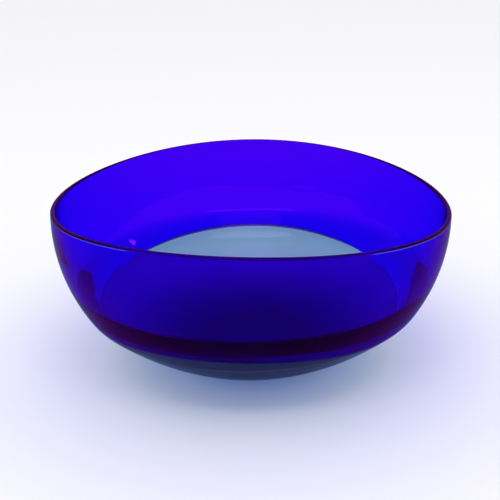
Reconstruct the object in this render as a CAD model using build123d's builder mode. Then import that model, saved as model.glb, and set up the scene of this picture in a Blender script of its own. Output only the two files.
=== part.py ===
"""A hand-blown glass bowl in two colours: a cobalt wall joined hot to a pale, thicker base.

Millimetres, +Z up. The origin is the middle of the flat foot, on the table. Slopes are in degrees
from the table, measured along the glass as it rises from the foot to the mouth.
"""

import os
from math import cos, degrees, pi, radians, sin

from build123d import *

# The outside of the bowl: foot, shallow base, tight knuckle, then a wall that ends just past upright.
foot_radius = 33.8
foot_slope = 16.7
base_slope = 42.0
knuckle_radius = 17.4
knuckle_slope = 57.8
lip_slope = 95.0
mouth_radius = 125.0
mouth_height = 110.5

# The inside of the bowl: a shallow dish, then smooth bends past the seam, the shoulder and the lip.
# Each thickness is square to the outside, except the bottom's, which is upright.
bottom_thickness = 13.0
dish_radius = 205.0
dish_slope = 19.5
seam_thickness = 9.5
inner_seam_slope = 56.0
shoulder_slope = 70.0
shoulder_thickness = 3.6
lip_thickness = 3.2

# The mouth sagged while it was soft: two sides dropped, one of them more, and the lip melted round.
mouth_sag = 4.6
mouth_lean = 3.1
lip_round = 1.3

# The seam between the two glasses lies across the wall, on the knuckle, and sags as the mouth does.
seam_slope = 54.0
seam_sag = 5.1
seam_lean = 2.6

# How far the surfaces that trim the mouth and part the seam reach past the glass.
trim_margin = 12.0
ring_points = 24


def slope_vector(slope):
    return Vector(cos(radians(slope)), sin(radians(slope)))


def run_of_arc(start_slope, end_slope):
    """How far out an arc of radius 1 goes between two slopes."""
    return sin(radians(end_slope)) - sin(radians(start_slope))


def rise_of_arc(start_slope, end_slope):
    """How far up an arc of radius 1 goes between two slopes."""
    return cos(radians(start_slope)) - cos(radians(end_slope))


def inside_facing(curve, start_slope, end_slope, slope, thickness):
    """The point on the inside of the glass that faces the place where an outside arc has a slope."""
    share = (slope - start_slope) / (end_slope - start_slope)
    along = curve % share
    return curve @ share + Vector(-along.Y, along.X) * thickness


def inside_bend(start, start_slope, end, end_slope):
    """One smooth bend of the inside, from a point to a point, with its slope at each."""
    pull = (end - start).length / 3
    return Bezier(
        start,
        start + slope_vector(start_slope) * pull,
        end - slope_vector(end_slope) * pull,
        end,
    )


# The base and wall arcs take the radii that bring the chain of arcs exactly to the mouth.
run_left = mouth_radius - foot_radius - knuckle_radius * run_of_arc(base_slope, knuckle_slope)
rise_left = mouth_height - knuckle_radius * rise_of_arc(base_slope, knuckle_slope)
base_run, base_rise = run_of_arc(foot_slope, base_slope), rise_of_arc(foot_slope, base_slope)
wall_run, wall_rise = run_of_arc(knuckle_slope, lip_slope), rise_of_arc(knuckle_slope, lip_slope)
spread = base_run * wall_rise - wall_run * base_rise
base_radius = (run_left * wall_rise - wall_run * rise_left) / spread
wall_radius = (base_run * rise_left - base_rise * run_left) / spread

# The wall is drawn taller than the mouth, because the sagging lip is cut from it afterwards.
blank_slope = lip_slope + degrees((mouth_sag + mouth_lean + trim_margin) / wall_radius)


def mouth_surface():
    """The sagging surface that the mouth lies in, higher front and back than at the sides.

    Its height follows y * y - x * x, which a net of three by three control points gives exactly.
    """
    reach = mouth_radius + trim_margin
    steps = (-reach, 0, reach)
    squares = (reach**2, -(reach**2), reach**2)
    net = []
    for x, x_square in zip(steps, squares):
        row = []
        for y, y_square in zip(steps, squares):
            sag = mouth_sag * (y_square - x_square) / mouth_radius**2
            lean = mouth_lean * x / mouth_radius
            row.append(Vector(x, y, mouth_height + sag - lean))
        net.append(row)
    return Face.make_bezier_surface(net)


def seam_ring(middle):
    """A closed curve round the bowl through a point, which slides down the wall where the mouth sags."""
    places = []
    for step in range(ring_points):
        turn = 2 * pi * step / ring_points
        droop = seam_sag * cos(2 * turn) + seam_lean * cos(turn)
        spot = middle - slope_vector(seam_slope) * (droop / sin(radians(seam_slope)))
        places.append(Vector(spot.X * cos(turn), spot.X * sin(turn), spot.Y))
    return Edge.make_spline(places, periodic=True)


with BuildPart() as vessel:
    with BuildSketch(Plane.XZ):
        with BuildLine():
            foot = Line((0, 0), (foot_radius, 0))
            base = JernArc(foot @ 1, slope_vector(foot_slope), base_radius, base_slope - foot_slope)
            knuckle = JernArc(base @ 1, base % 1, knuckle_radius, knuckle_slope - base_slope)
            wall = JernArc(knuckle @ 1, knuckle % 1, wall_radius, blank_slope - knuckle_slope)
            dish = JernArc((0, bottom_thickness), (1, 0), dish_radius, dish_slope)
            inner_seam = inside_facing(knuckle, base_slope, knuckle_slope, seam_slope, seam_thickness)
            shoulder = inside_facing(wall, knuckle_slope, blank_slope, shoulder_slope, shoulder_thickness)
            inner_lip = inside_facing(wall, knuckle_slope, blank_slope, lip_slope, lip_thickness)
            inside_bend(dish @ 1, dish_slope, inner_seam, inner_seam_slope)
            inside_bend(inner_seam, inner_seam_slope, shoulder, shoulder_slope)
            inside_bend(shoulder, shoulder_slope, inner_lip, lip_slope)
            blank = JernArc(
                inner_lip, slope_vector(lip_slope), wall_radius - lip_thickness, blank_slope - lip_slope
            )
            Line(blank @ 1, wall @ 1)
            Line(dish @ 0, foot @ 0)
        make_face()
    revolve(axis=Axis.Z)
    split(bisect_by=mouth_surface(), keep=Keep.BOTTOM)
    lip = vessel.faces().filter_by(GeomType.BEZIER)[0]
    fillet(lip.edges(), radius=lip_round)

past_glass = Vector(slope_vector(seam_slope).Y, -slope_vector(seam_slope).X) * trim_margin
outer_seam = inner_seam + past_glass.normalized() * seam_thickness
seam_surface = Face.make_surface_from_curves(
    seam_ring(outer_seam + past_glass), seam_ring(inner_seam - past_glass)
)

with BuildPart() as cobalt_wall:
    add(vessel.part)
    split(bisect_by=seam_surface, keep=Keep.TOP)
cobalt_wall.part.label = "cobalt_wall"

with BuildPart() as pale_base:
    add(vessel.part)
    split(bisect_by=seam_surface, keep=Keep.BOTTOM)
pale_base.part.label = "pale_base"

os.makedirs("parts", exist_ok=True)
export_step(cobalt_wall.part, "parts/cobalt_wall.step")
export_step(pale_base.part, "parts/pale_base.step")
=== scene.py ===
from bisect import bisect
from math import cos, log, pi, radians, sin

import bmesh
import bpy
from mathutils import Matrix, Vector
from mathutils.geometry import interpolate_bezier


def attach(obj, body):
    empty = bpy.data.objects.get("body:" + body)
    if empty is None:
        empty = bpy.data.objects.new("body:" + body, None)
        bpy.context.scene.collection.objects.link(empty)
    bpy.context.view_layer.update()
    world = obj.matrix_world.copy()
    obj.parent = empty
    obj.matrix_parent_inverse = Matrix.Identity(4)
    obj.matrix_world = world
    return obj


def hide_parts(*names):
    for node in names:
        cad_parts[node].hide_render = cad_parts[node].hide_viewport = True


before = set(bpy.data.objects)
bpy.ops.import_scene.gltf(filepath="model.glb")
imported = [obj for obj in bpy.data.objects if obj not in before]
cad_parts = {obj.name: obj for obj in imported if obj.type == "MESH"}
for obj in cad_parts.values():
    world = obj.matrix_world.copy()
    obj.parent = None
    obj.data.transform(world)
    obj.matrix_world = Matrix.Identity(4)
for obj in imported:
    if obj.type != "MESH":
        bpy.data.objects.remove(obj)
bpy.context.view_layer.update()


# The pale base: the lower gather of glass, steel blue and 9 to 13 mm thick, that the bowl stands on.
# It was blown and opened by itself, then joined hot to the cobalt gather, and the two were blown on
# together. Outside it has a flat ground foot and a tight knuckle, and inside it is a shallow dish.
foot_radius = 0.0338
foot_slope = radians(16.7)
base_radius = 0.188796
base_slope = radians(42.0)
knuckle_radius = 0.0174
knuckle_slope = radians(57.8)
bottom_thickness = 0.013
dish_radius = 0.205
dish_slope = radians(19.5)
seam_slope = radians(54.0)
seam_thickness = 0.0095
inner_seam_slope = radians(56.0)
seam_sag = 0.0051
seam_lean = 0.0026
wall_radius = 0.106948
lip_slope = radians(95.0)
blank_slope = radians(105.5)
shoulder_slope = radians(70.0)
shoulder_thickness = 0.0036
lip_thickness = 0.0032
seam_bite = 0.00002
seam_shares = (0.04, 0.5, 0.96)
steps_round = 256
row_gap = 0.0001
smallest_gap = 1e-6
sharpest_turn = radians(40)

OUTSIDE, INSIDE, SEAM = 1, 2, 3


def aim(slope):
    """The direction of a line drawn outwards and up at a slope."""
    return Vector((cos(slope), 0, sin(slope)))


def square_to(slope):
    """The direction from the outside of the glass to its inside, where the outside has a slope."""
    return Vector((-sin(slope), 0, cos(slope)))


def draw_arc(line, slope, radius, turn, steps):
    """Carries a line on from its last point, round an arc that leaves it at a slope."""
    centre = line[-1] + square_to(slope) * radius
    start = line[-1] - centre
    for step in range(1, steps + 1):
        line.append(centre + Matrix.Rotation(-turn * step / steps, 3, "Y") @ start)


def draw_bend(line, slope, end, end_slope, steps):
    """Carries a line on to another point, in one smooth bend that arrives there at a slope."""
    start = line[-1]
    pull = (end - start).length / 3
    leave, arrive = start + aim(slope) * pull, end - aim(end_slope) * pull
    line += interpolate_bezier(start, leave, arrive, end, steps + 1)[1:]


def radius_at(line, height):
    """How far from the middle of the bowl a line is, at a height."""
    place = min(max(bisect(line, height, key=lambda point: point.z), 1), len(line) - 1)
    low, high = line[place - 1], line[place]
    return low.x + (high.x - low.x) * (height - low.z) / (high.z - low.z)


def share_of(value, start, end):
    """How far a value has come from a start to an end, from 0 to 1."""
    return min(max((value - start) / (end - start), 0), 1)


def droop(turn, sag, lean):
    """How far the soft glass rose or sank at a turn round the bowl: two sides sank, one more."""
    return -sag * cos(2 * turn) - lean * cos(turn)


def blow_round(name, section, middle, settle):
    """Spins half a section of glass round the bowl, lets its skins settle, and makes it a piece.

    Each point of the section is a place and the skin that it is on. A section that starts at the
    middle stays open there, where the spin closes it, and any other is joined into a ring.
    """
    glass = bmesh.new()
    skin = glass.verts.layers.int.new("skin")
    points = []
    for place, side in section:
        points.append(glass.verts.new(place))
        points[-1][skin] = side
    followers = points[1:] if middle else points[1:] + points[:1]
    edges = [glass.edges.new(pair) for pair in zip(points, followers)]
    bmesh.ops.spin(
        glass,
        geom=points + edges,
        cent=(0, 0, 0),
        axis=(0, 0, 1),
        angle=2 * pi,
        steps=steps_round,
        use_merge=True,
    )
    bmesh.ops.remove_doubles(glass, verts=glass.verts, dist=smallest_gap)
    for vertex in glass.verts:
        reach = vertex.co.xy.length
        if vertex.co.z > 0 and reach > smallest_gap:
            turn = vertex.co.xy.angle_signed(Vector((1, 0)))
            rise, growth = settle(vertex.co.z, vertex[skin], turn)
            vertex.co.xy *= (reach + growth) / reach
            vertex.co.z += rise
    bmesh.ops.recalc_face_normals(glass, faces=glass.faces)
    mesh = bpy.data.meshes.new(name)
    glass.to_mesh(mesh)
    glass.free()
    piece = bpy.data.objects.new(name, mesh)
    bpy.context.collection.objects.link(piece)
    return piece


glass_bend = 1.5
ripple_stretch = (1, 1, 4)
ripple_scale = 14
ripple_detail = 1
ripple_softness = 0.4
ripple_strength = 0.5
ripple_height = 0.0015
face_on, edge_on = 0.1, 0.6
density_margin = 1.0001


def blown_glass(name, left, depth, gleam, edge_gleam):
    """Clear-skinned glass with its colour in its depth, and the slight ripple of blown glass.

    What is left of red, green and blue light after a depth gives the colour. The skin mirrors more,
    the flatter the light meets it, and its mirror has one colour face on and another edge on.
    """
    material = bpy.data.materials.new(name)
    material.use_nodes = True
    nodes, links = material.node_tree.nodes, material.node_tree.links
    nodes.remove(nodes["Principled BSDF"])
    output = nodes["Material Output"]

    place = nodes.new("ShaderNodeTexCoord")
    rings = nodes.new("ShaderNodeMapping")
    rings.inputs["Scale"].default_value = ripple_stretch
    ripple = nodes.new("ShaderNodeTexNoise")
    ripple.inputs["Scale"].default_value = ripple_scale
    ripple.inputs["Detail"].default_value = ripple_detail
    ripple.inputs["Roughness"].default_value = ripple_softness
    wave = nodes.new("ShaderNodeBump")
    wave.inputs["Strength"].default_value = ripple_strength
    wave.inputs["Distance"].default_value = ripple_height
    links.new(place.outputs["Object"], rings.inputs["Vector"])
    links.new(rings.outputs["Vector"], ripple.inputs["Vector"])
    links.new(ripple.outputs[0], wave.inputs["Height"])

    clear = nodes.new("ShaderNodeBsdfRefraction")
    clear.inputs["Color"].default_value = (1, 1, 1, 1)
    clear.inputs["Roughness"].default_value = 0
    clear.inputs["IOR"].default_value = glass_bend
    mirror = nodes.new("ShaderNodeBsdfGlossy")
    mirror.inputs["Roughness"].default_value = 0
    bounce = nodes.new("ShaderNodeFresnel")
    bounce.inputs["IOR"].default_value = glass_bend
    tint = nodes.new("ShaderNodeValToRGB")
    for stop, position, colour in zip(
        tint.color_ramp.elements, (face_on, edge_on), (gleam, edge_gleam)
    ):
        stop.position = position
        stop.color = (*colour, 1)
    skin = nodes.new("ShaderNodeMixShader")
    for shader in (clear, mirror, bounce):
        links.new(wave.outputs["Normal"], shader.inputs["Normal"])
    links.new(bounce.outputs[0], tint.inputs[0])
    links.new(tint.outputs["Color"], mirror.inputs["Color"])
    links.new(bounce.outputs[0], skin.inputs[0])
    links.new(clear.outputs["BSDF"], skin.inputs[1])
    links.new(mirror.outputs["BSDF"], skin.inputs[2])
    links.new(skin.outputs["Shader"], output.inputs["Surface"])

    fades = [-log(share) / depth for share in left]
    density = max(fades) * density_margin
    absorption = nodes.new("ShaderNodeVolumeAbsorption")
    absorption.inputs["Color"].default_value = (*(1 - fade / density for fade in fades), 1)
    absorption.inputs["Density"].default_value = density
    links.new(absorption.outputs["Volume"], output.inputs["Volume"])
    return material


def fit_piece(piece, node, material):
    """Gives a piece its glass, and its place in the model."""
    piece.data.shade_smooth()
    piece.data.set_sharp_from_angle(angle=sharpest_turn)
    piece.data.materials.append(material)
    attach(piece, "root")
    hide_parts(node)


def inside_of_wall(slope, thickness):
    """The point on the inside of the wall that faces the place where its outside has a slope."""
    return wall_centre - square_to(slope) * (wall_radius - thickness)


# Both lines run on up the wall, because the base took the wall's curve where the seam rose.
base_steps, knuckle_steps, wall_steps = 40, 16, 60
dish_steps, bend_steps, blank_steps = 20, 24, 6
outside = [Vector((foot_radius, 0, 0))]
draw_arc(outside, foot_slope, base_radius, base_slope - foot_slope, base_steps)
knuckle_centre = outside[-1] + square_to(base_slope) * knuckle_radius
outer_seam = knuckle_centre - square_to(seam_slope) * knuckle_radius
inner_seam = outer_seam + square_to(seam_slope) * seam_thickness
draw_arc(outside, base_slope, knuckle_radius, knuckle_slope - base_slope, knuckle_steps)
wall_centre = outside[-1] + square_to(knuckle_slope) * wall_radius
draw_arc(outside, knuckle_slope, wall_radius, blank_slope - knuckle_slope, wall_steps)
inside = [Vector((0, 0, bottom_thickness))]
draw_arc(inside, 0, dish_radius, dish_slope, dish_steps)
inner_shoulder = inside_of_wall(shoulder_slope, shoulder_thickness)
inner_lip = inside_of_wall(lip_slope, lip_thickness)
inner_blank = inside_of_wall(blank_slope, lip_thickness)
draw_bend(inside, dish_slope, inner_seam, inner_seam_slope, bend_steps)
draw_bend(inside, inner_seam_slope, inner_shoulder, shoulder_slope, bend_steps)
draw_bend(inside, shoulder_slope, inner_lip, lip_slope, bend_steps)
draw_bend(inside, lip_slope, inner_blank, blank_slope, blank_steps)


def settle_base(height, side, turn):
    """The base kept its shape at the foot and sank with the seam at its top."""
    seam_drop = droop(turn, seam_sag, seam_lean)
    if side == SEAM:
        share = (height - outer_seam.z) / (inner_seam.z - outer_seam.z)
        outer_growth = radius_at(outside, outer_seam.z + seam_drop) - outer_seam.x
        inner_growth = radius_at(inside, inner_seam.z + seam_drop) - inner_seam.x
        return seam_drop, outer_growth + (inner_growth - outer_growth) * share
    if side == OUTSIDE:
        line, low, high = outside, 0, outer_seam.z
    else:
        line, low, high = inside, bottom_thickness, inner_seam.z
    rise = seam_drop * share_of(height, low, high) ** 2
    return rise, radius_at(line, height + rise) - radius_at(line, height)


section = [(Vector((0, 0, 0)), OUTSIDE)]
section += [(point, OUTSIDE) for point in outside if point.z < outer_seam.z - row_gap]
section.append((outer_seam, OUTSIDE))
into_wall = aim(seam_slope) * seam_bite
section += [(outer_seam.lerp(inner_seam, share) + into_wall, SEAM) for share in seam_shares]
section.append((inner_seam, INSIDE))
section += [(point, INSIDE) for point in reversed(inside) if point.z < inner_seam.z - row_gap]
pale_base = blow_round("pale_base_glass", section, True, settle_base)
pale_left, pale_depth = (0.33, 0.48, 0.64), 0.0075
pale_gleam, pale_edge_gleam = (0.5, 0.4, 0.6), (0.38, 0.46, 0.6)
pale_glass = blown_glass("pale_glass", pale_left, pale_depth, pale_gleam, pale_edge_gleam)
fit_piece(pale_base, "pale_base", pale_glass)


# The cobalt wall: the upper gather, a deep violet-blue glass blown out to about 3 mm and fused to the
# base along the seam. Its mouth was cut, then melted round in the flame, and sagged softly there.
lip_round = 0.0013
lip_segments = 6
lip_row_gap = 0.001
lip_melt = 0.00015
mouth_sag = 0.0046
mouth_lean = 0.0031
lip_height = inside_of_wall(lip_slope, 0).z - lip_melt
rim_band = 0.009
rim_angle = 1.2


def settle_wall(height, side, turn):
    """The wall sank with the seam at its foot and with the mouth at its lip."""
    line, low = (outside, outer_seam.z) if side == OUTSIDE else (inside, inner_seam.z)
    share = share_of(height, low, lip_height)
    seam_drop, mouth_drop = droop(turn, seam_sag, seam_lean), droop(turn, mouth_sag, mouth_lean)
    rise = seam_drop + (mouth_drop - seam_drop) * share
    return rise, radius_at(line, height + rise) - radius_at(line, height)


def rows_between(line, low, high):
    """The points of a line between two heights, with one at each."""
    rows = [point for point in line if low + row_gap < point.z < high - lip_row_gap]
    return [Vector((radius_at(line, low), 0, low)), *rows, Vector((radius_at(line, high), 0, high))]


section = [(point, OUTSIDE) for point in rows_between(outside, outer_seam.z, lip_height)]
section += [(point, INSIDE) for point in reversed(rows_between(inside, inner_seam.z, lip_height))]
cobalt_wall = blow_round("cobalt_wall_glass", section, False, settle_wall)
lip = bmesh.new()
lip.from_mesh(cobalt_wall.data)
rims = [
    edge for edge in lip.edges
    if min(vertex.co.z for vertex in edge.verts) > lip_height - rim_band
    and edge.calc_face_angle(0) > rim_angle
]
bmesh.ops.bevel(
    lip,
    geom=rims,
    affect="EDGES",
    offset=lip_round,
    segments=lip_segments,
    profile=0.5,
    material=-1,
)
lip.to_mesh(cobalt_wall.data)
lip.free()
cobalt_left, cobalt_depth = (0.135, 0.0005, 0.94), 0.003
cobalt_gleam, cobalt_edge_gleam = (0.5, 0.05, 0.8), (0.25, 0.3, 0.5)
cobalt_glass = blown_glass(
    "cobalt_glass", cobalt_left, cobalt_depth, cobalt_gleam, cobalt_edge_gleam
)
fit_piece(cobalt_wall, "cobalt_wall", cobalt_glass)


# The table: a wide sheet of smooth white paper, which the bowl stands on and which lights it from below.
# It is only the stage, and lies a hair below the foot, so that the two don't share a face.
table_radius = 6.0
table_gap = 0.00005
table_steps = 96
paper_white = (0.83, 0.83, 0.86, 1)
paper_roughness = 0.9
sheet = bmesh.new()
bmesh.ops.create_circle(sheet, cap_ends=True, segments=table_steps, radius=table_radius)
bmesh.ops.translate(sheet, verts=sheet.verts, vec=(0, 0, -table_gap))
table_top = bpy.data.objects.new("table_top", bpy.data.meshes.new("table_top"))
sheet.to_mesh(table_top.data)
sheet.free()
bpy.context.collection.objects.link(table_top)
paper = bpy.data.materials.new("table_paper")
paper.use_nodes = True
surface = paper.node_tree.nodes["Principled BSDF"]
surface.inputs["Base Color"].default_value = paper_white
surface.inputs["Roughness"].default_value = paper_roughness
table_top.data.materials.append(paper)


# The light: a white tent round the table, a little brighter at its foot than at its top, with a long
# softbox over the front of the table, a smaller one overhead, and a tiny lamp at the left that puts one
# spot of light on the far wall. The front is turned a little from the side that faces -Y.
front_turn = radians(5.53)
horizon_light = 0.80
zenith_light = 0.74
zenith_height = 0.85
world = bpy.data.worlds.new("light_tent")
world.use_nodes = True
bpy.context.scene.world = world
nodes, links = world.node_tree.nodes, world.node_tree.links
direction = nodes.new("ShaderNodeTexCoord")
upward = nodes.new("ShaderNodeSeparateXYZ")
fade = nodes.new("ShaderNodeMapRange")
fade.interpolation_type = "SMOOTHSTEP"
fade.inputs["From Max"].default_value = zenith_height
fade.inputs["To Min"].default_value = horizon_light
fade.inputs["To Max"].default_value = zenith_light
links.new(direction.outputs["Generated"], upward.inputs["Vector"])
links.new(upward.outputs["Z"], fade.inputs["Value"])
links.new(fade.outputs["Result"], nodes["Background"].inputs["Strength"])
nodes["Background"].inputs["Color"].default_value = (1, 1, 1, 1)

# Each lamp: its name, elevation and azimuth in degrees, width and depth in metres, and strength.
lamp_reach = 1.5
lamps = (
    ("front_softbox", 55, 180, 1.3, 0.3, 2.0),
    ("top_softbox", 80, 180, 0.6, 0.6, 0.6),
    ("left_lamp", 47, 53, 0.06, 0.06, 6),
)
for name, elevation, azimuth, width, depth, strength in lamps:
    lamp = bpy.data.lights.new(name, "AREA")
    lamp.shape = "RECTANGLE"
    lamp.size = width
    lamp.size_y = depth
    lamp.energy = strength * pi * width * depth
    stand = bpy.data.objects.new(name, lamp)
    bpy.context.collection.objects.link(stand)
    round_table = Matrix.Rotation(front_turn - radians(azimuth), 4, "Z")
    tilt = Matrix.Rotation(radians(elevation - 90), 4, "X")
    stand.matrix_world = round_table @ tilt @ Matrix.Translation((0, 0, lamp_reach))
bpy.context.scene.cycles.blur_glossy = 0
bpy.context.scene.view_settings.view_transform = "Standard"
bpy.context.scene.view_settings.look = "High Contrast"


# The camera: it stands about 0.6 m in front of the middle of the bowl and a little above it, and looks
# down past the near lip into the dish.
camera_place = (-0.00118, -0.57125, 0.28807)
camera_pitch = -0.36102
camera_roll = -0.02437
sensor_width = 36
lens_length = 67.793
camera = bpy.data.objects.new("camera", bpy.data.cameras.new("camera"))
bpy.context.collection.objects.link(camera)
camera.data.sensor_width = sensor_width
camera.data.lens = lens_length
tripod = Matrix.Rotation(front_turn, 4, "Z") @ Matrix.Translation(camera_place)
head = Matrix.Rotation(pi / 2 + camera_pitch, 4, "X") @ Matrix.Rotation(camera_roll, 4, "Z")
camera.matrix_world = tripod @ head
bpy.context.scene.camera = camera
